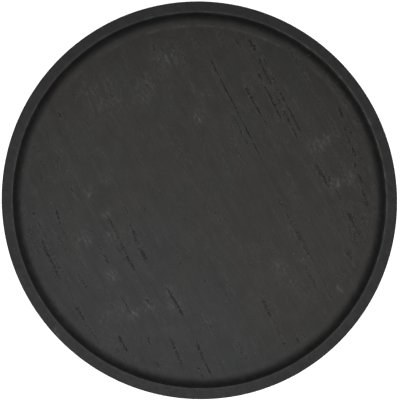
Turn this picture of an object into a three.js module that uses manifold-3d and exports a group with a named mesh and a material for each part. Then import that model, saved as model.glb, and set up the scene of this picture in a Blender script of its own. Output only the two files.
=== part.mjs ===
// Round serving tray: a blank of three edge-glued boards, turned to a shallow dish in one piece and stained black,
// standing on four screwed rubber feet.
// Millimetres. +Z is up, +Y runs along the grain and +X across the boards. The origin is at table height, under
// the middle of the tray.
import * as THREE from "three";
import { mergeVertices } from "three/addons/utils/BufferGeometryUtils.js";
import Module from "manifold-3d";

// The turned shape
const TURNED_DIAMETER = 350;
const BLANK_THICKNESS = 25;
const FLOOR_THICKNESS = 10;
const RIM_WIDTH = 10;
const COVE_RADIUS = 9; // hollow corner between the floor and the wall
const RIM_OUTER_EASING = 0.8;
const RIM_INNER_EASING = 0.6;
const GRIP_RADIUS = 5; // rounded bottom edge, for the fingertips
const CROSS_GRAIN_SHRINKAGE = 0.01; // the wood dried after it was turned, and drew in across the grain only

// The boards of the blank
const CENTRE_BOARD_WIDTH = 145;
const CENTRE_BOARD_SHIFT = -6.5; // from the tray's middle to the board's middle
const GLUE_LINE = 0.1;

// The feet: a rubber button, a steel washer held in a groove inside it, and a pan-head wood screw
const FOOT_HEIGHT = 5;
const FOOT_TOP_DIAMETER = 20;
const FOOT_TAPER = 1.5; // how much smaller the foot's radius is at the table
const FOOT_EASING = 0.8;
const FOOT_EDGE_INSET = 35; // from the tray's turned edge to a foot's middle
const FOOT_JOINT_MARGIN = 6; // wood left between a foot and a glue line
const WASHER_DIAMETER = 12;
const WASHER_THICKNESS = 0.8;
const SCREW_DIAMETER = 3.5;
const SCREW_HEAD_DIAMETER = 7;
const SCREW_HEAD_HEIGHT = 1.8;
const SCREW_HEAD_LIFT = 0.4; // from the table to the screw's head
const SCREW_TIP_LENGTH = 2;
const SCREW_COVER = 2.5; // wood left between the screw's tip and the tray's floor
const DRIVE_WIDTH = 3; // cross recess, from end to end
const DRIVE_SLOT = 0.7;
const DRIVE_DEPTH = 1.1;
const HEAD_CLEARANCE = 0.8; // radial, round a screw's head
const RUNNING_CLEARANCE = 0.25; // radial, round a screw's shank and a washer

// How finely round shapes are cut
const TRAY_SEGMENTS = 96;
const FOOT_SEGMENTS = 24;
const SCREW_SEGMENTS = 16;
const ARC_DIVISIONS = 2; // a path cuts an arc into twice as many steps
const COVE_DIVISIONS = 4;

// Heights and places that follow
const turnedRadius = TURNED_DIAMETER / 2;
const wellRadius = turnedRadius - RIM_WIDTH;
const undersideZ = FOOT_HEIGHT;
const floorZ = undersideZ + FLOOR_THICKNESS;
const rimZ = undersideZ + BLANK_THICKNESS;
const headTopZ = SCREW_HEAD_LIFT + SCREW_HEAD_HEIGHT;
const washerTopZ = headTopZ + WASHER_THICKNESS;
const screwTopZ = floorZ - SCREW_COVER;
const screwHoleRadius = SCREW_DIAMETER / 2 + RUNNING_CLEARANCE;
const headRecessRadius = SCREW_HEAD_DIAMETER / 2 + HEAD_CLEARANCE;
const washerGrooveRadius = WASHER_DIAMETER / 2 + RUNNING_CLEARANCE;
const leftJointX = CENTRE_BOARD_SHIFT - CENTRE_BOARD_WIDTH / 2;
const rightJointX = CENTRE_BOARD_SHIFT + CENTRE_BOARD_WIDTH / 2;
const quarterTurn = Math.PI / 2;

const stainedWood = new THREE.MeshStandardMaterial({ color: 0x3b3a38, roughness: 0.7, metalness: 0 });
const blackRubber = new THREE.MeshStandardMaterial({ color: 0x161616, roughness: 0.8, metalness: 0 });
const zincSteel = new THREE.MeshStandardMaterial({ color: 0xb4b6b8, roughness: 0.35, metalness: 1 });

const wasm = await Module();
wasm.setup();

// A closed three.js geometry as a solid that can be cut.
function solidOf(geometry) {
  const bare = geometry.clone();
  bare.deleteAttribute("normal");
  bare.deleteAttribute("uv");
  const merged = mergeVertices(bare);
  const vertProperties = merged.attributes.position.array;
  const triVerts = new Uint32Array(merged.index.array);
  return new wasm.Manifold(new wasm.Mesh({ numProp: 3, vertProperties, triVerts }));
}

function geometryOf(solid) {
  const { vertProperties, triVerts } = solid.getMesh();
  const geometry = new THREE.BufferGeometry();
  geometry.setAttribute("position", new THREE.BufferAttribute(vertProperties, 3));
  geometry.setIndex(new THREE.BufferAttribute(triVerts, 1));
  geometry.computeVertexNormals();
  return geometry;
}

function namedMesh(name, geometry, material) {
  const mesh = new THREE.Mesh(geometry, material);
  mesh.name = name;
  return mesh;
}

// Turns an outline, drawn as radius and height, round the vertical axis.
function turned(points, segments) {
  return new THREE.LatheGeometry(points, segments).rotateX(quarterTurn);
}

// The whole tray as it leaves the lathe, drawn from the middle of its underside round the rim to the middle of its
// floor.
function turnedBlank() {
  const outside = new THREE.Path();
  const gripCentreR = turnedRadius - GRIP_RADIUS;
  const outerEasingR = turnedRadius - RIM_OUTER_EASING;
  const outerEasingZ = rimZ - RIM_OUTER_EASING;
  const innerEasingR = wellRadius + RIM_INNER_EASING;
  const innerEasingZ = rimZ - RIM_INNER_EASING;
  outside.moveTo(0, undersideZ);
  outside.lineTo(gripCentreR, undersideZ);
  outside.absarc(gripCentreR, undersideZ + GRIP_RADIUS, GRIP_RADIUS, -quarterTurn, 0, false);
  outside.absarc(outerEasingR, outerEasingZ, RIM_OUTER_EASING, 0, quarterTurn, false);
  outside.absarc(innerEasingR, innerEasingZ, RIM_INNER_EASING, quarterTurn, 2 * quarterTurn, false);

  const well = new THREE.Path();
  well.absarc(wellRadius - COVE_RADIUS, floorZ + COVE_RADIUS, COVE_RADIUS, 0, -quarterTurn, true);
  well.lineTo(0, floorZ);

  const outline = [...outside.getPoints(ARC_DIVISIONS), ...well.getPoints(COVE_DIVISIONS)];
  const round = turned(outline, TRAY_SEGMENTS);
  return solidOf(round.scale(1 - CROSS_GRAIN_SHRINKAGE, 1, 1));
}

// Four feet on one circle, clear of the glue lines.
function footPlaces() {
  const circle = turnedRadius - FOOT_EDGE_INSET;
  const widestHalf = Math.max(-leftJointX, rightJointX);
  const clearOfJoints = widestHalf + FOOT_TOP_DIAMETER / 2 + FOOT_JOINT_MARGIN;
  const x = Math.max(circle * Math.SQRT1_2, clearOfJoints);
  const y = Math.sqrt(circle * circle - x * x);
  return [
    { name: "front_left", x: -x, y: -y },
    { name: "front_right", x, y: -y },
    { name: "back_left", x: -x, y },
    { name: "back_right", x, y },
  ];
}

// The blind hole for one foot's screw.
function pilotHole(place) {
  const bottomZ = undersideZ - 1;
  const topZ = screwTopZ + RUNNING_CLEARANCE;
  const hole = new THREE.CylinderGeometry(screwHoleRadius, screwHoleRadius, topZ - bottomZ, SCREW_SEGMENTS);
  hole.rotateX(quarterTurn);
  hole.translate(place.x, place.y, (bottomZ + topZ) / 2);
  return solidOf(hole);
}

// One board: what lies between two glue lines of the turned blank, with a hole for each screw that enters it.
function board(name, blank, lowX, highX, places) {
  const slab = new THREE.BoxGeometry(highX - lowX, 2 * TURNED_DIAMETER, 4 * rimZ);
  slab.translate((lowX + highX) / 2, 0, 0);
  let solid = blank.intersect(solidOf(slab));
  for (const place of places.filter(({ x }) => x > lowX && x < highX)) {
    solid = solid.subtract(pilotHole(place));
  }
  return namedMesh(name, geometryOf(solid), stainedWood);
}

// A rubber button, widest against the wood, with a recess for the screw's head and a groove that holds the washer.
function rubberFoot(name) {
  const topRadius = FOOT_TOP_DIAMETER / 2;
  const flatRadius = topRadius - FOOT_TAPER - FOOT_EASING;
  const outline = new THREE.Path();
  outline.moveTo(headRecessRadius, 0);
  outline.lineTo(flatRadius, 0);
  outline.absarc(flatRadius, FOOT_EASING, FOOT_EASING, -quarterTurn, 0, false);
  outline.lineTo(topRadius, FOOT_HEIGHT);
  outline.lineTo(screwHoleRadius, FOOT_HEIGHT);
  outline.lineTo(screwHoleRadius, washerTopZ);
  outline.lineTo(washerGrooveRadius, washerTopZ);
  outline.lineTo(washerGrooveRadius, headTopZ);
  outline.lineTo(headRecessRadius, headTopZ);
  outline.lineTo(headRecessRadius, 0);
  return namedMesh(name, turned(outline.getPoints(ARC_DIVISIONS), FOOT_SEGMENTS), blackRubber);
}

function washer(name) {
  const outside = WASHER_DIAMETER / 2;
  const outline = new THREE.Path();
  outline.moveTo(screwHoleRadius, headTopZ);
  outline.lineTo(outside, headTopZ);
  outline.lineTo(outside, washerTopZ);
  outline.lineTo(screwHoleRadius, washerTopZ);
  outline.lineTo(screwHoleRadius, headTopZ);
  return namedMesh(name, turned(outline.getPoints(), FOOT_SEGMENTS), zincSteel);
}

// A pan-head wood screw, head down, with a cross recess. Its thread is drawn as a plain shank.
function screw(name) {
  const headRadius = SCREW_HEAD_DIAMETER / 2;
  const shankRadius = SCREW_DIAMETER / 2;
  const panRadius = SCREW_HEAD_HEIGHT / 2;
  const outline = new THREE.Path();
  outline.moveTo(0, SCREW_HEAD_LIFT);
  outline.lineTo(headRadius - panRadius, SCREW_HEAD_LIFT);
  outline.absarc(headRadius - panRadius, SCREW_HEAD_LIFT + panRadius, panRadius, -quarterTurn, 0, false);
  outline.lineTo(headRadius, headTopZ);
  outline.lineTo(shankRadius, headTopZ);
  outline.lineTo(shankRadius, screwTopZ - SCREW_TIP_LENGTH);
  outline.lineTo(0, screwTopZ);
  let solid = solidOf(turned(outline.getPoints(ARC_DIVISIONS), SCREW_SEGMENTS));
  for (const turn of [0, quarterTurn]) {
    const slot = new THREE.BoxGeometry(DRIVE_WIDTH, DRIVE_SLOT, 2 * DRIVE_DEPTH);
    slot.rotateZ(turn);
    slot.translate(0, 0, SCREW_HEAD_LIFT);
    solid = solid.subtract(solidOf(slot));
  }
  return namedMesh(name, geometryOf(solid), zincSteel);
}

const places = footPlaces();
const blank = turnedBlank();
const halfGlue = GLUE_LINE / 2;
const tray = new THREE.Group();
tray.add(
  board("board_left", blank, -TURNED_DIAMETER, leftJointX - halfGlue, places),
  board("board_centre", blank, leftJointX + halfGlue, rightJointX - halfGlue, places),
  board("board_right", blank, rightJointX + halfGlue, TURNED_DIAMETER, places),
);
for (const place of places) {
  const foot = new THREE.Group();
  foot.position.set(place.x, place.y, 0);
  foot.add(
    rubberFoot(`foot_${place.name}`),
    washer(`foot_washer_${place.name}`),
    screw(`foot_screw_${place.name}`),
  );
  tray.add(foot);
}

export default tray;
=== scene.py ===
from math import atan2, cos, degrees, exp, floor, hypot, pi, radians, sin

import bmesh
import bpy
from mathutils import Matrix, Vector, noise


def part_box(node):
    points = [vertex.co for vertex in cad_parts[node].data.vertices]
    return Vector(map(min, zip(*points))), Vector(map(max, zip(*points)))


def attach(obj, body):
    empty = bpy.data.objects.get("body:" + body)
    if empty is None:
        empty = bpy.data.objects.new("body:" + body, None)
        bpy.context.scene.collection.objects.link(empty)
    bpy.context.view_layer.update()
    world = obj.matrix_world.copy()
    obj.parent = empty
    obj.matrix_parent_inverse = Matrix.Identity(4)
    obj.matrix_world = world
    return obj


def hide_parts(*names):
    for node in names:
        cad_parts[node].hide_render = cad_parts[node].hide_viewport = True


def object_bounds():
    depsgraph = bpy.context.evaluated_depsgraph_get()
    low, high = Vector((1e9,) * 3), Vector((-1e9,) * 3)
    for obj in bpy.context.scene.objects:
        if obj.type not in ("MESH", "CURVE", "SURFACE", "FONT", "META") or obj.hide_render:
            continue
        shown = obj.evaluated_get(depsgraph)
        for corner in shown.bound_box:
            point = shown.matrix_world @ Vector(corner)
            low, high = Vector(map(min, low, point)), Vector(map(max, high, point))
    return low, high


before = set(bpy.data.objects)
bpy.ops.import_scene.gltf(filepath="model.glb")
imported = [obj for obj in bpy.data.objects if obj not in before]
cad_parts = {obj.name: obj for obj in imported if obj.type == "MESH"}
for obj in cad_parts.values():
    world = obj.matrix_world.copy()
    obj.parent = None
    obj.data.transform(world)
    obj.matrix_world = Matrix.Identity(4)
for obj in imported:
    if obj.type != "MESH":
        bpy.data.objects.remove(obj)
cad_low, cad_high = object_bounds()


# ---- The turned dish ---------------------------------------------------------------------------------------
# The tray is turned from one glued blank: a flat floor, a hollow corner, an upright wall and a flat rim, all
# of one piece of wood. It is drawn here as it leaves the lathe, with its mesh lines laid along the grain, and
# then cut into its three boards.
MM = 0.001
RIM_RADIUS = cad_high.y
RIM_Z = cad_high.z
UNDERSIDE_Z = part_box("board_centre")[0].z
FLOOR_Z = 15 * MM
RIM_WIDTH = 10 * MM
WELL_RADIUS = RIM_RADIUS - RIM_WIDTH
COVE_RADIUS = 9 * MM
RIM_OUTER_EASING = 0.8 * MM
RIM_INNER_EASING = 0.6 * MM
GRIP_RADIUS = 5 * MM
CROSS_GRAIN_SHRINKAGE = 1 - cad_high.x / cad_high.y

FLOOR_RING = 0.8 * MM  # the floor's last rings of mesh, before the hollow corner starts to rise
GRAIN_LINES = 600
FLOOR_STEPS = 120
UNDERSIDE_STEPS = 50


def arc(centre, radius, start, end, steps):
    """Radius and height of the points after the first on a stretch of arc; in degrees, 0 is outwards."""
    turns = [radians(start + (end - start) * step / steps) for step in range(1, steps + 1)]
    return [(centre[0] + radius * cos(turn), centre[1] + radius * sin(turn)) for turn in turns]


def straight(start, end, steps):
    return [tuple(Vector(start).lerp(Vector(end), step / steps)) for step in range(1, steps + 1)]


def grain_grid(mesh, radius, height, steps):
    """A flat disc of long cells that lie along the grain; its edge has the same points at every radius."""
    grid = bmesh.ops.create_grid(mesh, x_segments=GRAIN_LINES, y_segments=steps, size=1)
    for vertex in grid["verts"]:
        turn = vertex.co.x * pi / 2
        vertex.co = (radius * sin(turn), radius * cos(turn) * vertex.co.y, height)
    bmesh.ops.remove_doubles(mesh, verts=grid["verts"], dist=1e-7)


def turned_dish():
    cove = (WELL_RADIUS - COVE_RADIUS, FLOOR_Z + COVE_RADIUS)
    inner = (WELL_RADIUS + RIM_INNER_EASING, RIM_Z - RIM_INNER_EASING)
    outer = (RIM_RADIUS - RIM_OUTER_EASING, RIM_Z - RIM_OUTER_EASING)
    grip = (RIM_RADIUS - GRIP_RADIUS, UNDERSIDE_Z + GRIP_RADIUS)
    floor_edge = cove[0] - 3 * FLOOR_RING
    outline = [(cove[0] - 2 * FLOOR_RING, FLOOR_Z), (cove[0] - FLOOR_RING, FLOOR_Z), (cove[0], FLOOR_Z)]
    outline += arc(cove, COVE_RADIUS, -90, 0, 10)
    outline += straight(outline[-1], (WELL_RADIUS, inner[1]), 2)
    outline += arc(inner, RIM_INNER_EASING, 180, 90, 3)
    outline += straight(outline[-1], (outer[0], RIM_Z), 5)
    outline += arc(outer, RIM_OUTER_EASING, 90, 0, 3)
    outline += straight(outline[-1], (RIM_RADIUS, grip[1]), 4)
    outline += arc(grip, GRIP_RADIUS, 0, -90, 6)

    mesh = bmesh.new()
    grain_grid(mesh, floor_edge, FLOOR_Z, FLOOR_STEPS)
    edge = [e for e in mesh.edges if e.is_boundary]
    for radius, height in outline:
        grown = bmesh.ops.extrude_edge_only(mesh, edges=edge)["geom"]
        edge = [part for part in grown if isinstance(part, bmesh.types.BMEdge)]
        for vertex in (part for part in grown if isinstance(part, bmesh.types.BMVert)):
            out = vertex.co.xy.normalized() * radius
            vertex.co = (out.x, out.y, height)
    grain_grid(mesh, grip[0], UNDERSIDE_Z, UNDERSIDE_STEPS)
    bmesh.ops.remove_doubles(mesh, verts=mesh.verts, dist=1e-6)
    bmesh.ops.scale(mesh, verts=mesh.verts, vec=(1 - CROSS_GRAIN_SHRINKAGE, 1, 1))
    bmesh.ops.recalc_face_normals(mesh, faces=mesh.faces)
    return mesh


# ---- The three boards --------------------------------------------------------------------------------------
# Three boards of open-pored hardwood, edge-glued and stained black under a thin matt oil. Each has its own
# heart, so its growth rings meet the floor at their own slope. The pores are short open grooves, crowded into
# long runs, and the glue lines show only where they have opened.
RING_WIDTH = 5 * MM
ARRIS = 0.03 * MM  # the glued edges meet as good as square
SLIVER = 0.1 * MM  # mesh points this near a cut are moved onto it
SHARP = radians(40)  # faces that meet at more than this keep a sharp edge
SANDING_DUST = 0.02 * MM  # what the last sanding took off all over
SCREW_HOLE_RADIUS = 2 * MM
SCREW_HOLE_DEPTH = 7.7 * MM
SCREW_HOLE_STEPS = 24

RUN_END = 7  # how far a run of pores takes to start and to stop, in mm
RUN_SOFTNESS = 1.4
RUN_STRENGTH = 0.95
# Runs of crowded pores, in mm: from x, y to x, y, half width, and how crowded.
PORE_RUNS = (
    (-142, 36, -143, -20, 1.7, 0.9),
    (-137, 64, -137, 28, 1.5, 0.8),
    (-140, -18, -140, -60, 1.6, 0.85),
    (-146, 10, -145, -24, 1.3, 0.7),
    (-116, 56, -121, 33, 1.1, 1.0),
    (-115, 90, -118, 72, 1.8, 0.85),
    (-125, 48, -126, 6, 1.6, 0.7),
    (-128, 2, -124, -30, 2.0, 0.7),
    (-122, -46, -122, -62, 1.6, 0.8),
    (-120, -70, -118, -97, 2.4, 0.95),
    (-130, -60, -128, -76, 2.0, 0.6),
    (-100, 32, -98, 8, 1.4, 0.7),
    (-97, 10, -98, -19, 1.4, 1.0),
    (-97, -16, -95, -36, 1.4, 0.85),
    (-101, -38, -100, -68, 1.5, 0.9),
    (-98, -80, -96, -100, 1.7, 0.75),
    (-101, -106, -97, -122, 2.4, 0.9),
    (-97, 68, -97, 43, 1.4, 0.75),
    (-97, 97, -100, 72, 3.5, 0.6),
    (-80, 28, -80, -34, 1.5, 0.95),
    (-84, 2, -83, -22, 1.3, 0.9),
    (-83, -52, -80, -70, 1.8, 0.95),
    (-79, -92, -81, -134, 1.9, 0.9),
    (-75, 134, -77, 116, 1.1, 0.9),
    (-81, 62, -77, 42, 1.5, 0.55),
    (-62, 30, -62, 12, 1.2, 1.0),
    (-65, 15, -67, -32, 2.3, 0.95),
    (-63, -31, -60, -41, 1.8, 1.0),
    (-61, -52, -59, -89, 1.4, 0.95),
    (-57, 144, -58, 126, 1.3, 0.75),
    (-58, 112, -57, 98, 1.8, 0.65),
    (-60, 86, -59, 66, 2.8, 0.6),
    (-62, 66, -61, 46, 1.8, 0.6),
    (-60, -108, -62, -148, 1.7, 0.85),
    (-69, -126, -67, -148, 4.0, 0.65),
    (-49, 12, -50, -32, 1.2, 0.5),
    (-40, -4, -40, -52, 1.3, 0.6),
    (-43, -78, -42, -120, 1.8, 0.6),
    (-30, -22, -29, -42, 1.6, 0.7),
    (-28, -60, -29, -72, 1.2, 0.85),
    (-28, -116, -28, -152, 3.0, 0.6),
    (-27, 142, -27, 102, 2.5, 0.6),
    (-42, 146, -42, 128, 2.2, 0.65),
    (-18, 36, -20, -6, 1.2, 0.4),
    (-12, -60, -10, -100, 1.4, 0.45),
    (5, 128, 5, 98, 2.6, 0.7),
    (0, 122, 0, 103, 2.0, 0.6),
    (6, 62, 5, 33, 1.1, 0.6),
    (8, 2, 8, -42, 1.3, 0.55),
    (10, -98, 9, -157, 1.7, 0.8),
    (22, -143, 22, -158, 1.6, 0.85),
    (29, -138, 28, -158, 1.3, 0.7),
    (20, 44, 22, 27, 1.1, 0.95),
    (25, 44, 25, 27, 1.1, 0.85),
    (22, 22, 22, 4, 1.1, 0.65),
    (36, 38, 35, 3, 1.3, 0.55),
    (25, 147, 27, 108, 1.7, 0.75),
    (19, 142, 19, 98, 1.4, 0.6),
    (45, 128, 46, 103, 2.2, 0.65),
    (40, 132, 41, 58, 1.3, 0.5),
    (27, -52, 27, -67, 1.2, 0.85),
    (22, -48, 22, -77, 1.6, 0.6),
    (28, -70, 29, -107, 1.4, 0.65),
    (39, -58, 41, -102, 1.4, 0.6),
    (43, -98, 43, -128, 2.6, 0.6),
    (51, -108, 50, -132, 2.2, 0.6),
    (66, 112, 66, 7, 1.0, 0.85),
    (61, 64, 61, 14, 1.4, 0.8),
    (56, 60, 50, 8, 2.6, 0.55),
    (62, 110, 63, 66, 1.4, 0.6),
    (60, 147, 60, 118, 1.6, 0.7),
    (53, 102, 53, 68, 1.3, 0.55),
    (64, -24, 64, -97, 1.5, 0.8),
    (58, -88, 58, -132, 1.6, 0.6),
    (65, -113, 65, -138, 1.4, 0.75),
    (82, 78, 84, 28, 1.6, 0.9),
    (77, 58, 78, 33, 1.2, 0.8),
    (87, 88, 87, 63, 1.6, 0.7),
    (83, 130, 83, 106, 2.6, 0.6),
    (82, 30, 82, 8, 1.6, 0.6),
    (95, 120, 94, 98, 2.2, 0.6),
    (98, 82, 98, 25, 1.3, 0.95),
    (94, 42, 94, 23, 1.1, 0.8),
    (104, 112, 107, 91, 2.8, 0.85),
    (104, 94, 103, 4, 1.6, 0.95),
    (108, 92, 108, 9, 1.3, 0.85),
    (96, -9, 95, -18, 1.5, 1.0),
    (80, -4, 81, -46, 1.4, 0.5),
    (106, -13, 109, -52, 2.1, 0.95),
    (111, -24, 114, -62, 1.4, 0.75),
    (109, -58, 109, -82, 1.3, 0.8),
    (115, -58, 111, -102, 5.0, 0.75),
    (126, -62, 120, -92, 4.5, 0.65),
    (148, 22, 147, 2, 1.7, 0.85),
    (145, 4, 141, -34, 1.5, 1.0),
    (148, 0, 145, -42, 1.2, 0.7),
    (138, -28, 135, -57, 1.9, 0.95),
    (134, -53, 130, -78, 2.1, 0.95),
    (96, -93, 97, -118, 2.2, 0.85),
    (86, -106, 88, -128, 3.0, 0.65),
    (104, -92, 104, -108, 2.2, 0.8),
    (78, -98, 80, -128, 2.0, 0.5),
)
LEFT_GLUE = (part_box("board_left")[1].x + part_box("board_centre")[0].x) / 2
RIGHT_GLUE = (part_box("board_centre")[1].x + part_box("board_right")[0].x) / 2
GLUE_END = 14  # how far an opened stretch of glue line takes to start and to stop, in mm
# Stretches where a glue line has opened: where it is, from and to in mm along the grain, and how far.
GLUE_STRETCHES = (
    (RIGHT_GLUE, 5, 116, 1.0),
    (RIGHT_GLUE, -96, -24, 0.6),
    (LEFT_GLUE, -36, 32, 0.9),
    (LEFT_GLUE, -134, -92, 0.5),
)
# Places where use has rubbed the stain, in mm: x, y, how wide, and how strong.
RUBBED = (
    (-80, 27, 4, 1.0),
    (-84, 8, 5, 0.8),
    (-105, 14, 4.5, 1.0),
    (-110, 20, 9, 0.5),
    (-100, -24, 6, 0.8),
    (-98, -62, 6, 0.9),
    (-82, -63, 7, 0.8),
    (-61, -60, 5, 0.8),
    (-62, -74, 6, 0.9),
    (-67, 55, 4, 0.9),
    (-85, 50, 4, 0.7),
    (-120, -58, 11, 0.5),
    (-103, -56, 9, 0.5),
    (-72, 0, 9, 0.4),
    (-128, -76, 12, 0.4),
    (-28, 115, 6, 0.7),
    (-48, 130, 6, 0.5),
    (-36, 120, 22, 0.35),
    (-4, 108, 14, 0.4),
    (7, 114, 9, 0.5),
    (33, 66, 6, 0.7),
    (33, 127, 11, 0.6),
    (48, 82, 5, 0.4),
    (116, -4, 8, 0.7),
    (125, -2, 5, 0.7),
    (114, -42, 6, 0.9),
    (128, -42, 7, 0.7),
    (37, -86, 7, 0.7),
    (38, -102, 5, 0.5),
    (62, -62, 6, 0.6),
    (59, -88, 5, 0.5),
    (75, -127, 4, 0.8),
    (-162, -48, 5, 1.0),
)


def bump_at(value, middle, spread):
    return exp(-(((value - middle) / spread) ** 2))


def smooth(value, low, high):
    share = min(max((value - low) / (high - low), 0), 1)
    return share * share * (3 - 2 * share)


def across_grain(x, y):
    """Where a point would lie across the tray if its grain ran straight; it bends on the left board, and
    leans a little on the others."""
    left = 1 - smooth(x, -50 * MM, 20 * MM)
    bend = 10 * MM * smooth(y, -78 * MM, 22 * MM) - 3 * MM * smooth(y, 32 * MM, 78 * MM)
    return x + bend * left + 0.05 * y * (1 - left)


def pore_crowd(across, x, y, seed):
    """How closely the open pores stand at a place."""
    drift = noise.noise((across / (7 * MM), y / (60 * MM), seed))
    side = smooth(abs(x), 50 * MM, 150 * MM)
    crowd = (0.22 + 0.3 * side) * smooth(drift, -0.25, 0.5)
    for from_x, from_y, to_x, to_y, spread, strength in PORE_RUNS:
        if to_y * MM < y < from_y * MM:
            share = (y / MM - from_y) / (to_y - from_y)
            off = x - (from_x + (to_x - from_x) * share) * MM
            if abs(off) < 3.2 * spread * MM:
                run = smooth(y, to_y * MM, (to_y + RUN_END) * MM)
                run *= 1 - smooth(y, (from_y - RUN_END) * MM, from_y * MM)
                fading = 0.6 + 0.4 * smooth(noise.noise((from_x, y / (9 * MM), 4.2)), -0.5, 0.1)
                here = bump_at(off, 0, RUN_SOFTNESS * spread * MM)
                crowd = max(crowd, RUN_STRENGTH * strength * run * fading * here)
    return crowd


def opened_glue(x, y):
    """Pores that have opened along a stretch of a glue line."""
    opened = 0
    for place, start, end, strength in GLUE_STRETCHES:
        wander = 0.5 * MM * noise.noise((start, y / (12 * MM), 8.1))
        near = bump_at(x, place + wander, 0.6 * MM)
        if near > 0.02:
            run = smooth(y, start * MM, (start + GLUE_END) * MM)
            run *= 1 - smooth(y, (end - GLUE_END) * MM, end * MM)
            dashes = smooth(noise.noise((start, y / (4 * MM), 2.5)), -0.3, 0.15)
            opened = max(opened, near * run * dashes * strength)
    return opened


def rubbing(x, y):
    """How far use has rubbed the stain at a place."""
    rubbed = 0
    for place_x, place_y, size, strength in RUBBED:
        away = hypot(x - place_x * MM, y - place_y * MM)
        rubbed = max(rubbed, strength * bump_at(away, 0, size * MM))
    return rubbed


def arris_polish_and_highlight(x, y, radius):
    """Polish from wiping round the well on the hollow corner's foot and the rim's inner arris, and a painted
    highlight.
    """
    # Painted highlight: both lines are paler towards one side, where they catch the light
    turn = degrees(atan2(y, x))
    patchy = 0.55 + 0.9 * noise.noise((x / (9 * MM), y / (9 * MM), 3.3))
    cove_foot = bump_at(radius, WELL_RADIUS - COVE_RADIUS - 0.4 * MM, 1.0 * MM)
    cove_foot = cove_foot * patchy * (0.12 + 0.5 * bump_at(turn, 45, 48))
    arris = bump_at(radius, WELL_RADIUS + 0.25 * MM, 0.45 * MM)
    arris *= 0.6 + 0.7 * patchy
    arris = arris * (0.42 + 0.35 * bump_at(turn, -8, 42))
    return max(cove_foot, arris)


def corner_shading(radius, z):
    """Painted shade: darker a little towards the floor's edge, under the wall, and most in the hollow corner.
    """
    in_corner = smooth(radius, WELL_RADIUS - 6 * MM, WELL_RADIUS - 1 * MM)
    in_corner *= 1 - smooth(z, RIM_Z - 2 * MM, RIM_Z - 1 * MM)
    outer_floor = smooth(radius, 115 * MM, 147 * MM)
    return 0.33 * outer_floor * smooth(RIM_Z - z, 0, 2 * MM) + 0.75 * in_corner


def mark_grain(mesh, heart, seed):
    """Cuts the grain's relief into a board, and keeps on each vertex what its finish has to know."""
    grain = mesh.verts.layers.float_vector.new("grain")
    wear = mesh.verts.layers.float_vector.new("wear")
    groove = mesh.verts.layers.float.new("groove")
    polish_and_highlight = mesh.verts.layers.float.new("polish_and_highlight")
    corner_shade = mesh.verts.layers.float.new("corner_shade")
    mesh.normal_update()
    moves = []
    for vertex in mesh.verts:
        x, y, z = vertex.co
        radius = hypot(x / (1 - CROSS_GRAIN_SHRINKAGE), y)
        across = across_grain(x, y) + 1.2 * MM * noise.noise((x / 0.03, y / 0.09, seed))
        growth = hypot(across - heart[0], z - heart[1]) / RING_WIDTH
        since_winter = growth - floor(growth)
        early = smooth(since_winter, 0, 0.08) * (1 - smooth(since_winter, 0.3, 0.55))
        under = smooth(-z, -UNDERSIDE_Z - 1 * MM, -UNDERSIDE_Z)
        sanded = smooth(radius, WELL_RADIUS - 6.2 * MM, WELL_RADIUS - 2.2 * MM) * (1 - under)
        crowd = min(1, pore_crowd(across, x, y, seed) + 0.1 * early) * (1 - 0.75 * sanded) * (1 - 0.5 * under)
        fibre = noise.noise((across / (1.3 * MM), y / (16 * MM), z / (1.3 * MM) + seed))
        vessel = noise.noise((across / (0.8 * MM), y / (13 * MM), z / (0.8 * MM) + seed + 31))
        opened = smooth(vessel, 0.68 - 0.42 * crowd, 0.84 - 0.42 * crowd)
        opened = max(opened, opened_glue(x, y) * (1 - sanded) * (1 - under))
        worn = rubbing(x, y) * (1 - under)
        polished_and_lit = arris_polish_and_highlight(x, y, radius) * (1 - under)
        steep = 1 - abs(vertex.normal.z)
        vertex[grain] = (across, growth, steep * abs(vertex.normal.y))
        vertex[wear] = (crowd, worn, sanded)
        vertex[groove] = opened
        vertex[polish_and_highlight] = polished_and_lit
        vertex[corner_shade] = corner_shading(radius, z) * (1 - under)
        relief = 0.02 * MM * fibre - 0.04 * MM * early - 0.1 * MM * opened + 0.02 * MM * worn
        relief *= 1 - 0.6 * sanded - 0.3 * under
        moves.append((vertex, vertex.normal * (relief - SANDING_DUST)))
    for vertex, move in moves:
        if vertex.co.z < UNDERSIDE_Z + 0.01 * MM:
            move = Vector((0, 0, max(0, move.z)))
        vertex.co += move


def screw_hole(mesh, place):
    """A blind hole in the underside, closed to the flat round it; a board without it is left alone."""
    axis = Vector((place.x, place.y, UNDERSIDE_Z))
    under = [f for f in mesh.faces if f.normal.z < -0.9 and (f.calc_center_median() - axis).length < 6 * MM]
    if not under:
        return
    bmesh.ops.delete(mesh, geom=under, context="FACES")
    mouth = bmesh.ops.create_circle(
        mesh,
        segments=SCREW_HOLE_STEPS,
        radius=SCREW_HOLE_RADIUS,
        matrix=Matrix.Translation(axis),
    )["verts"]
    circle = list({e for v in mouth for e in v.link_edges})
    rough = [e for e in mesh.edges if e.is_boundary and not set(e.verts) & set(mouth)]
    bmesh.ops.bridge_loops(mesh, edges=rough + circle)
    deeper = bmesh.ops.extrude_edge_only(mesh, edges=circle)["geom"]
    end = [part for part in deeper if isinstance(part, bmesh.types.BMVert)]
    bmesh.ops.translate(mesh, verts=end, vec=(0, 0, SCREW_HOLE_DEPTH))
    bmesh.ops.contextual_create(mesh, geom=[part for part in deeper if isinstance(part, bmesh.types.BMEdge)])


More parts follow.
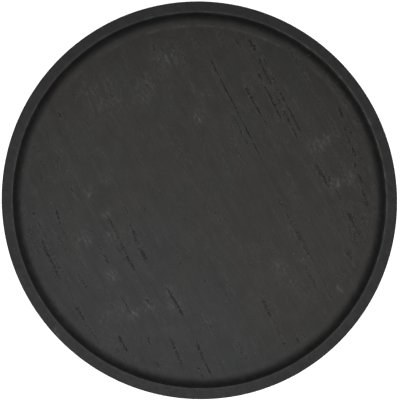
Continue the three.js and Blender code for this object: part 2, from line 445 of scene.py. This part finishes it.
def keep_side(mesh, x, outwards):
    """Cuts the blank at a glue line and closes the cut with a flat jointed face."""
    cut = bmesh.ops.bisect_plane(
        mesh,
        geom=mesh.verts[:] + mesh.edges[:] + mesh.faces[:],
        dist=SLIVER,
        plane_co=(x, 0, 0),
        plane_no=(outwards, 0, 0),
        clear_outer=True,
    )["geom_cut"]
    for vertex in (part for part in cut if isinstance(part, bmesh.types.BMVert)):
        vertex.co.x = x
    open_edges = [e for e in mesh.edges if e.is_boundary]
    jointed = bmesh.ops.edgenet_fill(mesh, edges=open_edges)["faces"]
    around = list({e for f in jointed for e in f.edges})
    bmesh.ops.bevel(
        mesh,
        geom=around,
        affect="EDGES",
        offset=ARRIS,
        segments=1,
        profile=0.5,
        material=-1,
        clamp_overlap=True,
    )


def shade(mesh, sharp=SHARP):
    """Shades a mesh smooth, apart from its sharp edges."""
    for face in mesh.faces:
        face.smooth = True
    for e in mesh.edges:
        e.smooth = e.calc_face_angle(0) < sharp


def finish_piece(name, mesh, material, slot, *nodes):
    """Puts a finished mesh in the scene as the piece that stands for its CAD nodes."""
    data = bpy.data.meshes.new(name)
    mesh.to_mesh(data)
    mesh.free()
    data.materials.append(material)
    piece = bpy.data.objects.new(name, data)
    bpy.context.scene.collection.objects.link(piece)
    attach(piece, "root")
    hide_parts(*nodes)


def put(tree, kind, sockets, **settings):
    """Adds a shader node; each socket takes a plain value or another node's output."""
    made = tree.nodes.new(kind)
    for setting, value in settings.items():
        setattr(made, setting, value)
    for socket, value in sockets.items():
        if isinstance(value, bpy.types.NodeSocket):
            tree.links.new(value, made.inputs[socket])
        else:
            made.inputs[socket].default_value = value
    return made


def maths(tree, operation, *values):
    return put(tree, "ShaderNodeMath", dict(enumerate(values)), operation=operation).outputs[0]


def ease(tree, value, low, high, to_low=0.0, to_high=1.0):
    """Maps a value from one span to another along a smooth step."""
    spans = {0: value, 1: low, 2: high, 3: to_low, 4: to_high}
    return put(tree, "ShaderNodeMapRange", spans, interpolation_type="SMOOTHSTEP").outputs[0]


def tint(tree, share, first, second, blend="MIX"):
    mixed = put(tree, "ShaderNodeMix", {0: share, 6: first, 7: second}, data_type="RGBA", blend_type=blend)
    return mixed.outputs[2]


def darken(tree, colour, tone):
    """Multiplies a colour by a plain tone."""
    grey = put(tree, "ShaderNodeCombineColor", {0: tone, 1: tone, 2: tone}).outputs[0]
    return tint(tree, 1.0, colour, grey, "MULTIPLY")


def rising_towards(tree, place, direction):
    """A value that grows evenly in one direction, by the direction's length for each metre."""
    sockets = {0: place, 1: direction}
    return put(tree, "ShaderNodeVectorMath", sockets, operation="DOT_PRODUCT").outputs["Value"]


def attribute(tree, name, output="Fac"):
    return put(tree, "ShaderNodeAttribute", {}, attribute_name=name).outputs[output]


def rough_noise(tree, place, scale, detail):
    return put(tree, "ShaderNodeTexNoise", {"Vector": place, "Scale": scale, "Detail": detail}).outputs[0]


def new_material(name):
    """An empty material; returns it, its tree, its shader and its object coordinates."""
    material = bpy.data.materials.new(name)
    material.use_nodes = True
    tree = material.node_tree
    place = put(tree, "ShaderNodeTexCoord", {}).outputs["Object"]
    return material, tree, tree.nodes["Principled BSDF"], place


def new_group(name, inputs, outputs):
    """An empty shader group with the given sockets; returns it and its inner inputs."""
    tree = bpy.data.node_groups.new(name, "ShaderNodeTree")
    for direction, sockets in (("INPUT", inputs), ("OUTPUT", outputs)):
        for label, kind in sockets.items():
            tree.interface.new_socket(label, in_out=direction, socket_type=f"NodeSocket{kind}")
    return tree, tree.nodes.new("NodeGroupInput").outputs


def dust_group():
    """Specks of dust: a mask of small separate dots, from a position, a density and a dot size."""
    inputs = {"Position": "Vector", "Density": "Float", "Size": "Float"}
    tree, given = new_group("dust_specks", inputs, {"Mask": "Float"})
    cells = put(tree, "ShaderNodeTexVoronoi", {"Vector": given["Position"], "Scale": given["Density"]})
    dot = ease(tree, cells.outputs["Distance"], given["Size"], 0.0)
    chance = put(tree, "ShaderNodeSeparateColor", {0: cells.outputs["Color"]}).outputs[0]
    mask = maths(tree, "MULTIPLY", dot, maths(tree, "GREATER_THAN", chance, 0.8))
    put(tree, "NodeGroupOutput", {"Mask": mask})
    return tree


def clouding_group():
    """Soft uneven patches in a finish, from a position and the size of a patch in mm, between two levels."""
    inputs = {"Position": "Vector", "Patch": "Float", "Low": "Float", "High": "Float"}
    tree, given = new_group("clouding", inputs, {"Level": "Float"})
    scale = maths(tree, "DIVIDE", 1000.0, given["Patch"])
    patches = rough_noise(tree, given["Position"], scale, 3.0)
    put(tree, "NodeGroupOutput", {"Level": ease(tree, patches, 0.3, 0.7, given["Low"], given["High"])})
    return tree


dust_specks = dust_group()
clouding = clouding_group()


def use_group(tree, group, sockets):
    """Places a shader group in a material and returns its output."""
    placed = tree.nodes.new("ShaderNodeGroup")
    placed.node_tree = group
    for label, value in sockets.items():
        if isinstance(value, bpy.types.NodeSocket):
            tree.links.new(value, placed.inputs[label])
        else:
            placed.inputs[label].default_value = value
    return placed.outputs[0]


def stained_wood():
    """Black stain under a thin matt oil, soaked into open-pored hardwood."""
    material, tree, surface, place = new_material("black_stained_wood")
    groove = attribute(tree, "groove")
    polish_and_highlight = attribute(tree, "polish_and_highlight")
    corner_shade = attribute(tree, "corner_shade")
    grain = put(tree, "ShaderNodeSeparateXYZ", {0: attribute(tree, "grain", "Vector")})
    across, growth, end_grain = grain.outputs
    wear = put(tree, "ShaderNodeSeparateXYZ", {0: attribute(tree, "wear", "Vector")})
    crowd, worn, sanded = wear.outputs
    along, height = put(tree, "ShaderNodeSeparateXYZ", {0: place}).outputs[1:]
    laid = put(tree, "ShaderNodeCombineXYZ", {0: across, 1: along, 2: height}).outputs[0]

    def streaks(width, length, detail=2.0, shift=0.0):
        """Noise whose features are about that many mm wide across the grain and long along it."""
        stretch = (1000 / width, 1000 / length, 1000 / width)
        sizes = {"Vector": laid, "Scale": stretch, "Location": (shift, shift, 0)}
        return rough_noise(tree, put(tree, "ShaderNodeMapping", sizes).outputs[0], 1.0, detail)

    # The pores: thin dashes, more of them and wider open where they crowd
    dashes = streaks(0.34, 2.2, 2.5)
    lines = streaks(0.7, 30, 2.0, 7.0)
    openness = maths(tree, "ADD", dashes, maths(tree, "MULTIPLY_ADD", lines, 0.35, -0.175))
    opens_at = maths(tree, "MULTIPLY_ADD", crowd, -0.35, 0.74)
    opens_at = maths(tree, "MULTIPLY_ADD", sanded, 0.05, opens_at)
    pore = ease(tree, openness, opens_at, maths(tree, "ADD", opens_at, 0.08))
    brink = ease(tree, openness, maths(tree, "SUBTRACT", opens_at, 0.09), opens_at)
    broken_groove = maths(tree, "MULTIPLY", groove, ease(tree, dashes, 0.43, 0.59, 0.03, 0.46))
    dark = maths(tree, "MAXIMUM", maths(tree, "MULTIPLY", pore, 0.74), broken_groove)

    # The stain, with painted light: warmer on one side of the tray, lighter towards the opposite one
    # Painted warm light: the stain is warmer on one side, with a random drift of the stain laid over it
    painted_warm_light_side = rising_towards(tree, place, (0.92, 0.39, 0))
    drifting = use_group(tree, clouding, {"Position": place, "Patch": 60.0, "Low": -0.2, "High": 0.2})
    warm_light_and_drift = maths(tree, "ADD", ease(tree, painted_warm_light_side, -0.14, 0.1), drifting)
    brown = use_group(tree, clouding, {"Position": place, "Patch": 45.0, "Low": 0.05, "High": 0.95})
    warm_lit_stain = tint(tree, brown, (0.0172, 0.0171, 0.0146, 1), (0.0184, 0.0162, 0.0143, 1))
    colour = tint(tree, warm_light_and_drift, (0.0169, 0.017, 0.017, 1), warm_lit_stain)
    mottled = use_group(tree, clouding, {"Position": place, "Patch": 6.0, "Low": 0.0, "High": 1.0})
    turned_stain = tint(tree, mottled, (0.0098, 0.0098, 0.0096, 1), (0.0132, 0.0132, 0.013, 1))
    colour = tint(tree, sanded, colour, turned_stain)
    # Painted light: lighter towards the front left, where the lamp hangs; it also stands for the stain faded
    # on that side
    tone = maths(tree, "ADD", 1.0, rising_towards(tree, place, (-1.3, -1.25, 0)))
    fine = streaks(0.5, 12)
    broad = streaks(3.0, 50, 3.0, 3.0)
    tone = maths(tree, "MULTIPLY", tone, ease(tree, fine, 0.25, 0.75, 0.95, 1.05))
    tone = maths(tree, "MULTIPLY", tone, ease(tree, broad, 0.25, 0.75, 0.94, 1.06))
    patches = use_group(tree, clouding, {"Position": place, "Patch": 16.0, "Low": 0.93, "High": 1.07})
    tone = maths(tree, "MULTIPLY", tone, patches)
    since_winter = maths(tree, "FRACT", growth)
    early = ease(tree, since_winter, 0.0, 0.08)
    early = maths(tree, "MULTIPLY", early, ease(tree, since_winter, 0.3, 0.55, 1.0, 0.0))
    tone = maths(tree, "MULTIPLY", tone, maths(tree, "MULTIPLY_ADD", early, -0.05, 1.0))
    tone = maths(tree, "MULTIPLY", tone, maths(tree, "MULTIPLY_ADD", end_grain, -0.25, 1.0))
    # Painted shade: darker in the hollow corner and a little towards the floor's edge
    tone = maths(tree, "MULTIPLY", tone, maths(tree, "MULTIPLY_ADD", corner_shade, -0.2, 1.0))
    colour = darken(tree, colour, tone)

    # Wear: raised fibres that have lost their stain, and feathery scuffs where the tray is handled and wiped
    fibres = ease(tree, streaks(0.7, 7, 3.0, 19.0), 0.53, 0.68)
    edges = maths(tree, "MULTIPLY", brink, maths(tree, "SUBTRACT", 1.0, pore))
    scuff = ease(tree, streaks(1.8, 5, 5.0, 11.0), 0.46, 0.64)
    lift = maths(tree, "MAXIMUM", maths(tree, "MULTIPLY", worn, scuff), maths(tree, "MULTIPLY", worn, 0.12))
    # The polished line along the rim's inner arris and the hollow corner's foot is partly a painted highlight
    paler = ((fibres, crowd, 0.75, 0.04), (edges, worn, 0.45, 0.45), (polish_and_highlight, scuff, 0.7, 0.55))
    for mask, where_most, most, least in paler:
        shown = maths(tree, "MULTIPLY", mask, maths(tree, "MULTIPLY_ADD", where_most, most, least))
        lift = maths(tree, "MAXIMUM", lift, shown)
    colour = tint(tree, maths(tree, "MULTIPLY", lift, 0.72), colour, (0.062, 0.061, 0.058, 1))
    colour = tint(tree, dark, colour, (0.003, 0.003, 0.003, 1))
    specks = use_group(tree, dust_specks, {"Position": place, "Density": 110.0, "Size": 0.05})
    colour = tint(tree, maths(tree, "MULTIPLY", specks, 0.7), colour, (0.22, 0.22, 0.21, 1))
    tree.links.new(colour, surface.inputs["Base Color"])

    rough = maths(tree, "ADD", ease(tree, fine, 0.3, 0.7, 0.58, 0.68), maths(tree, "MULTIPLY", dark, 0.3))
    tree.links.new(maths(tree, "MULTIPLY_ADD", lift, 0.08, rough), surface.inputs["Roughness"])
    surface.inputs["Specular IOR Level"].default_value = 0.1

    depth = maths(tree, "MULTIPLY", pore, -0.07 * MM)
    depth = maths(tree, "MULTIPLY_ADD", fine, 0.012 * MM, depth)
    depth = maths(tree, "MULTIPLY_ADD", lift, 0.01 * MM, depth)
    bump = put(tree, "ShaderNodeBump", {"Height": depth, "Distance": 1.0, "Strength": 0.8})
    tree.links.new(bump.outputs[0], surface.inputs["Normal"])
    return material


wood = stained_wood()
dish = turned_dish()
foot_places = ("front_left", "front_right", "back_left", "back_right")
foot_axes = {place: sum(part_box(f"foot_{place}"), Vector()) / 2 for place in foot_places}
# Each board: the sides it is cut on, and where its heart was, across and down from the floor.
boards = {
    "board_left": (((LEFT_GLUE, 1),), (-45 * MM, -55 * MM)),
    "board_centre": (((LEFT_GLUE, -1), (RIGHT_GLUE, 1)), (-4 * MM, -75 * MM)),
    "board_right": (((RIGHT_GLUE, -1),), (35 * MM, -60 * MM)),
}
for number, (node, (sides, heart)) in enumerate(boards.items()):
    mesh = dish.copy()
    for x, outwards in sides:
        keep_side(mesh, x, outwards)
    mark_grain(mesh, heart, 17 * number)
    for axis in foot_axes.values():
        screw_hole(mesh, axis)
    bmesh.ops.recalc_face_normals(mesh, faces=mesh.faces)
    shade(mesh)
    finish_piece(f"tray_{node}", mesh, wood, "stained_wood", node)
dish.free()


# ---- The rubber feet ---------------------------------------------------------------------------------------
# Four buttons of black rubber, moulded with two grip grooves underneath, a recess for the screw's head and a
# groove that holds the washer. Each is widest against the wood, where its lip is pressed flat by the screw.
FOOT_STEPS = 64
FOOT_TOP_RADIUS = 10 * MM
FOOT_BASE_RADIUS = 8.5 * MM
FOOT_EASING = 0.8 * MM
HEAD_RECESS_RADIUS = 4.3 * MM
WASHER_GROOVE_RADIUS = 6.25 * MM
GRIP_GROOVES = (5.7 * MM, 6.9 * MM)
GRIP_GROOVE_RADIUS = 0.25 * MM
RECESS_EASING = 0.3 * MM
LIP_EASING = 0.2 * MM
PARTING_LINE = (9.15 * MM, 2.6 * MM)
PARTING_EASING = 0.1 * MM
HEAD_TOP_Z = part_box("foot_washer_front_left")[0].z
WASHER_TOP_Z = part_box("foot_washer_front_left")[1].z


def spun(outline, closed, steps):
    """Turns an outline of radii and heights round the vertical axis, and closes its seam and its poles."""
    mesh = bmesh.new()
    points = [mesh.verts.new((radius, 0, height)) for radius, height in outline]
    lines = [mesh.edges.new(pair) for pair in zip(points, points[1:] + points[:1] if closed else points[1:])]
    bmesh.ops.spin(
        mesh, geom=points + lines, cent=(0, 0, 0), axis=(0, 0, 1), angle=2 * pi, steps=steps, use_merge=True
    )
    bmesh.ops.remove_doubles(mesh, verts=mesh.verts, dist=1e-6)
    bmesh.ops.recalc_face_normals(mesh, faces=mesh.faces)
    return mesh


def rubber_foot():
    base_flat = FOOT_BASE_RADIUS - FOOT_EASING
    lip = FOOT_TOP_RADIUS - LIP_EASING
    outline = [(HEAD_RECESS_RADIUS + RECESS_EASING, 0)]
    for groove_radius in GRIP_GROOVES:
        outline += [(groove_radius - GRIP_GROOVE_RADIUS, 0)]
        outline += arc((groove_radius, 0), GRIP_GROOVE_RADIUS, 180, 0, 6)
    outline += [(base_flat, 0)]
    outline += arc((base_flat, FOOT_EASING), FOOT_EASING, -90, 0, 6)
    outline += [(9.12 * MM, 2.5 * MM)]
    outline += arc(PARTING_LINE, PARTING_EASING, -80, 95, 5)
    outline += [(9.6 * MM, 4.05 * MM), (lip, 4.2 * MM)]
    outline += arc((lip, 4.4 * MM), LIP_EASING, -90, 0, 4)
    outline += [(FOOT_TOP_RADIUS, 4.85 * MM), (FOOT_TOP_RADIUS - 0.15 * MM, UNDERSIDE_Z)]
    outline += [(SCREW_HOLE_RADIUS + 0.2 * MM, UNDERSIDE_Z), (SCREW_HOLE_RADIUS, UNDERSIDE_Z - 0.2 * MM)]
    outline += [(SCREW_HOLE_RADIUS, WASHER_TOP_Z), (WASHER_GROOVE_RADIUS, WASHER_TOP_Z)]
    outline += [(WASHER_GROOVE_RADIUS, HEAD_TOP_Z), (HEAD_RECESS_RADIUS, HEAD_TOP_Z)]
    outline += [(HEAD_RECESS_RADIUS, RECESS_EASING)]
    outline += arc((HEAD_RECESS_RADIUS + RECESS_EASING, RECESS_EASING), RECESS_EASING, 180, 270, 4)[:-1]
    return spun(outline, True, FOOT_STEPS)


def moulded_rubber():
    """Black rubber with the fine grain of its mould, smeared and dusty, and pale where it stands."""
    material, tree, surface, place = new_material("moulded_black_rubber")
    height = put(tree, "ShaderNodeSeparateXYZ", {0: place}).outputs[2]
    cloud = use_group(tree, clouding, {"Position": place, "Patch": 4.0, "Low": 0.75, "High": 1.3})
    pitted = rough_noise(tree, place, 4500.0, 2.0)
    smears = rough_noise(tree, place, 700.0, 5.0)
    standing = ease(tree, height, 0.25 * MM, 0.0)
    standing = maths(tree, "MULTIPLY", standing, ease(tree, smears, 0.35, 0.6, 0.3, 1.0))
    colour = darken(tree, (0.0125, 0.0125, 0.013, 1), cloud)
    colour = tint(tree, maths(tree, "MULTIPLY", standing, 0.5), colour, (0.07, 0.068, 0.064, 1))
    colour = tint(tree, ease(tree, smears, 0.6, 0.75, 0.0, 0.25), colour, (0.05, 0.048, 0.045, 1))
    specks = use_group(tree, dust_specks, {"Position": place, "Density": 700.0, "Size": 0.12})
    colour = tint(tree, maths(tree, "MULTIPLY", specks, 0.6), colour, (0.25, 0.24, 0.22, 1))
    tree.links.new(colour, surface.inputs["Base Color"])
    rough = ease(tree, smears, 0.3, 0.7, 0.5, 0.68)
    rough = maths(tree, "ADD", rough, maths(tree, "MULTIPLY", standing, 0.15))
    tree.links.new(rough, surface.inputs["Roughness"])
    surface.inputs["Specular IOR Level"].default_value = 0.4
    depth = maths(tree, "MULTIPLY", pitted, 0.02 * MM)
    bump = put(tree, "ShaderNodeBump", {"Height": depth, "Distance": 1.0, "Strength": 0.6})
    tree.links.new(bump.outputs[0], surface.inputs["Normal"])
    return material


rubber = moulded_rubber()
for place, axis in foot_axes.items():
    mesh = rubber_foot()
    bmesh.ops.translate(mesh, verts=mesh.verts, vec=(axis.x, axis.y, 0))
    shade(mesh)
    finish_piece(f"rubber_foot_{place}", mesh, rubber, "black_rubber", f"foot_{place}")


# ---- The washers -------------------------------------------------------------------------------------------
# One stamped, zinc-plated steel washer in each foot, pressed into the rubber's groove. It keeps the screw's
# head from pulling through. Only its inner part shows, down in the recess.
WASHER_RADIUS = 6 * MM
WASHER_EASING = 0.15 * MM


def stamped_washer():
    """Rounded by the punch on its lower edges, square on the upper ones."""
    inside, outside, ease_in = SCREW_HOLE_RADIUS, WASHER_RADIUS, WASHER_EASING
    outline = [(inside + ease_in, HEAD_TOP_Z), (outside - ease_in, HEAD_TOP_Z)]
    outline += arc((outside - ease_in, HEAD_TOP_Z + ease_in), ease_in, -90, 0, 3)
    outline += [(outside, WASHER_TOP_Z), (inside, WASHER_TOP_Z), (inside, HEAD_TOP_Z + ease_in)]
    outline += arc((inside + ease_in, HEAD_TOP_Z + ease_in), ease_in, 180, 270, 3)[:-1]
    return spun(outline, True, FOOT_STEPS)


def zinc_plated_steel():
    """Bright zinc over steel: fine rings left by the tools, a faint yellow bloom, and dull grey patches."""
    material, tree, surface, place = new_material("zinc_plated_steel")
    turned = attribute(tree, "turned", "Vector")
    rings = put(tree, "ShaderNodeMapping", {"Vector": turned, "Scale": (9000, 0.8, 2500)}).outputs[0]
    rings = rough_noise(tree, rings, 1.0, 3.0)
    bloom = use_group(tree, clouding, {"Position": place, "Patch": 2.5, "Low": 0.0, "High": 1.0})
    dull = use_group(tree, clouding, {"Position": place, "Patch": 0.9, "Low": 0.0, "High": 1.0})
    colour = tint(tree, bloom, (0.6, 0.61, 0.62, 1), (0.62, 0.6, 0.54, 1))
    colour = tint(tree, ease(tree, dull, 0.5, 1.0, 0.0, 0.6), colour, (0.38, 0.39, 0.4, 1))
    specks = use_group(tree, dust_specks, {"Position": place, "Density": 900.0, "Size": 0.12})
    colour = tint(tree, maths(tree, "MULTIPLY", specks, 0.5), colour, (0.2, 0.19, 0.17, 1))
    tree.links.new(colour, surface.inputs["Base Color"])
    surface.inputs["Metallic"].default_value = 1.0
    rough = maths(tree, "ADD", ease(tree, rings, 0.3, 0.7, 0.26, 0.4), maths(tree, "MULTIPLY", dull, 0.12))
    tree.links.new(rough, surface.inputs["Roughness"])
    depth = maths(tree, "MULTIPLY", rings, 0.006 * MM)
    bump = put(tree, "ShaderNodeBump", {"Height": depth, "Distance": 1.0, "Strength": 0.7})
    tree.links.new(bump.outputs[0], surface.inputs["Normal"])
    return material


def note_turning(mesh):
    """Keeps each point's radius, angle and height about its own axis, which the tool marks follow."""
    turned = mesh.verts.layers.float_vector.new("turned")
    for vertex in mesh.verts:
        vertex[turned] = (vertex.co.xy.length, atan2(abs(vertex.co.y), vertex.co.x), vertex.co.z)


zinc = zinc_plated_steel()
for place, axis in foot_axes.items():
    mesh = stamped_washer()
    note_turning(mesh)
    bmesh.ops.translate(mesh, verts=mesh.verts, vec=(axis.x, axis.y, 0))
    shade(mesh)
    finish_piece(f"washer_{place}", mesh, zinc, "zinc_steel", f"foot_washer_{place}")


# ---- The screws --------------------------------------------------------------------------------------------
# Pan-head wood screws with a cross recess, plated like the washers, and driven up through washer and rubber
# into the boards. The shank is plain through the foot, and threaded from the wood to its point.
HEAD_RADIUS = 3.5 * MM
HEAD_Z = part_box("foot_screw_front_left")[0].z
TIP_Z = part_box("foot_screw_front_left")[1].z
THREAD_RADIUS = 1.75 * MM
CORE_RADIUS = 1.2 * MM
THREAD_PITCH = 1.5 * MM
POINT_LENGTH = 2 * MM
MOUTH_RADIUS = 2 * MM
RECESS_WIDTH = 3 * MM
RECESS_SLOT = 0.7 * MM
RECESS_DEPTH = 1.1 * MM
RECESS_TAPER = 0.6
SCREW_STEPS = 32
SCREW_SHARP = radians(28)


def cut_thread(mesh):
    """Draws the shank in to its core between the turns of the thread, and to nothing at the point."""
    for vertex in mesh.verts:
        radius = vertex.co.xy.length
        if vertex.co.z < HEAD_TOP_Z + 0.1 * MM or radius < 0.1 * MM:
            continue
        turns = (vertex.co.z - HEAD_TOP_Z) / THREAD_PITCH - atan2(vertex.co.y, vertex.co.x) / (2 * pi)
        crest = max(0, 1 - 3.2 * abs(turns - floor(turns) - 0.5)) * smooth(vertex.co.z, 4.2 * MM, 5.2 * MM)
        plain = 1 - smooth(vertex.co.z, 3.8 * MM, 4.6 * MM)
        wanted = CORE_RADIUS + (THREAD_RADIUS - CORE_RADIUS) * max(crest, plain * 0.6)
        wanted *= min(1, max(0.08, (TIP_Z - vertex.co.z) / POINT_LENGTH))
        vertex.co.xy *= wanted / radius


def pan_head_screw():
    pan = (HEAD_TOP_Z - HEAD_Z) / 2
    outline = [(MOUTH_RADIUS, HEAD_Z), (HEAD_RADIUS - pan, HEAD_Z)]
    outline += arc((HEAD_RADIUS - pan, HEAD_Z + pan), pan, -90, 0, 8)
    outline += [(HEAD_RADIUS, HEAD_TOP_Z - 0.1 * MM), (HEAD_RADIUS - 0.1 * MM, HEAD_TOP_Z)]
    outline += [(THREAD_RADIUS, HEAD_TOP_Z)]
    outline += straight(outline[-1], (THREAD_RADIUS, TIP_Z - 0.05 * MM), 60)
    outline += [(0, TIP_Z)]
    mesh = spun(outline, False, SCREW_STEPS)
    cut_thread(mesh)
    # The recess: a cross of five faces, with the head's flat filled in round it, pushed in and tapered
    rim = [e for e in mesh.edges if e.is_boundary]
    grid = bmesh.ops.create_grid(mesh, x_segments=3, y_segments=3, size=1)["verts"]
    cross = list({f for v in grid for f in v.link_faces})
    corners = [f for f in cross if min(abs(f.calc_center_median().x), abs(f.calc_center_median().y)) > 0.5]
    cross = [f for f in cross if f not in corners]
    bmesh.ops.delete(mesh, geom=corners, context="FACES")
    grid = list({v for f in cross for v in f.verts})
    for vertex in grid:
        across, along = (RECESS_WIDTH / 2 if abs(side) > 0.5 else RECESS_SLOT / 2 for side in vertex.co.xy)
        vertex.co = (across if vertex.co.x > 0 else -across, along if vertex.co.y > 0 else -along, HEAD_Z)
    around = [e for e in mesh.edges if e.is_boundary and e not in rim]
    bmesh.ops.triangle_fill(mesh, edges=rim + around, use_beauty=True, normal=(0, 0, -1))
    pushed = bmesh.ops.extrude_face_region(mesh, geom=cross)["geom"]
    bmesh.ops.delete(mesh, geom=cross, context="FACES")
    floor_verts = [part for part in pushed if isinstance(part, bmesh.types.BMVert)]
    bmesh.ops.scale(mesh, verts=floor_verts, vec=(RECESS_TAPER, RECESS_TAPER, 1))
    bmesh.ops.translate(mesh, verts=floor_verts, vec=(0, 0, RECESS_DEPTH))
    bmesh.ops.recalc_face_normals(mesh, faces=mesh.faces)
    return mesh


for turn, (place, axis) in enumerate(foot_axes.items()):
    mesh = pan_head_screw()
    stopped_at = 0.7 + 1.1 * turn  # each screw's cross comes to rest at its own angle
    bmesh.ops.rotate(mesh, verts=mesh.verts, matrix=Matrix.Rotation(stopped_at, 3, "Z"))
    note_turning(mesh)
    bmesh.ops.translate(mesh, verts=mesh.verts, vec=(axis.x, axis.y, 0))
    shade(mesh, SCREW_SHARP)
    finish_piece(f"screw_{place}", mesh, zinc, "zinc_steel", f"foot_screw_{place}")


# ---- The table and the light -------------------------------------------------------------------------------
# A plain white table under one large soft lamp, which hangs over the tray a little to its front left. The
# pale room round it fills in the shadows.
TABLE_REACH = 4
UNDER_FEET = 0.2 * MM  # keeps the table's face clear of the faces the feet stand on


def stage_table():
    mesh = bmesh.new()
    bmesh.ops.create_grid(mesh, x_segments=1, y_segments=1, size=TABLE_REACH)
    bmesh.ops.translate(mesh, verts=mesh.verts, vec=(0, 0, cad_low.z - UNDER_FEET))
    data = bpy.data.meshes.new("table_top")
    mesh.to_mesh(data)
    mesh.free()
    paint = bpy.data.materials.new("white_table")
    paint.use_nodes = True
    surface = paint.node_tree.nodes["Principled BSDF"]
    surface.inputs["Base Color"].default_value = (0.9, 0.9, 0.9, 1)
    surface.inputs["Roughness"].default_value = 0.9
    surface.inputs["Emission Color"].default_value = (1, 1, 1, 1)
    surface.inputs["Emission Strength"].default_value = 0.3
    data.materials.append(paint)
    table = bpy.data.objects.new("table_top", data)
    bpy.context.scene.collection.objects.link(table)


def soft_lamp(name, place, size, power):
    """A square soft lamp that looks at the tray's middle."""
    data = bpy.data.lights.new(name, "AREA")
    data.size = size
    data.energy = power
    lamp = bpy.data.objects.new(name, data)
    lamp.location = place
    lamp.rotation_euler = (-Vector(place)).to_track_quat("-Z", "Y").to_euler()
    lamp.visible_camera = False
    bpy.context.scene.collection.objects.link(lamp)


stage_table()
soft_lamp("soft_lamp", (-0.05, -0.1, 1.5), 1.5, 32)
world = bpy.data.worlds.new("studio")
world.use_nodes = True
walls = world.node_tree.nodes["Background"]
walls.inputs["Color"].default_value = (0.95, 0.97, 1.0, 1)
walls.inputs["Strength"].default_value = 0.6
bpy.context.scene.world = world
bpy.context.scene.view_settings.view_transform = "Standard"


# ---- The camera --------------------------------------------------------------------------------------------
# It looks straight down on the middle of the tray from a height at which the tray fills the frame, and is
# turned so that the grain leans to the right.
LENS = 100
SENSOR = 36
FRAME_SHARE = 0.998  # how much of the picture's width the tray fills
GRAIN_LEAN = radians(27)
OFF_CENTRE = 0.6 * MM
lens = bpy.data.cameras.new("camera")
lens.lens = LENS
lens.sensor_width = SENSOR
camera = bpy.data.objects.new("camera", lens)
rim_distance = 2 * RIM_RADIUS / FRAME_SHARE * LENS / SENSOR
camera.location = (OFF_CENTRE, 0, RIM_Z + rim_distance)
camera.rotation_euler = (0, 0, -GRAIN_LEAN)
bpy.context.scene.collection.objects.link(camera)
bpy.context.scene.camera = camera
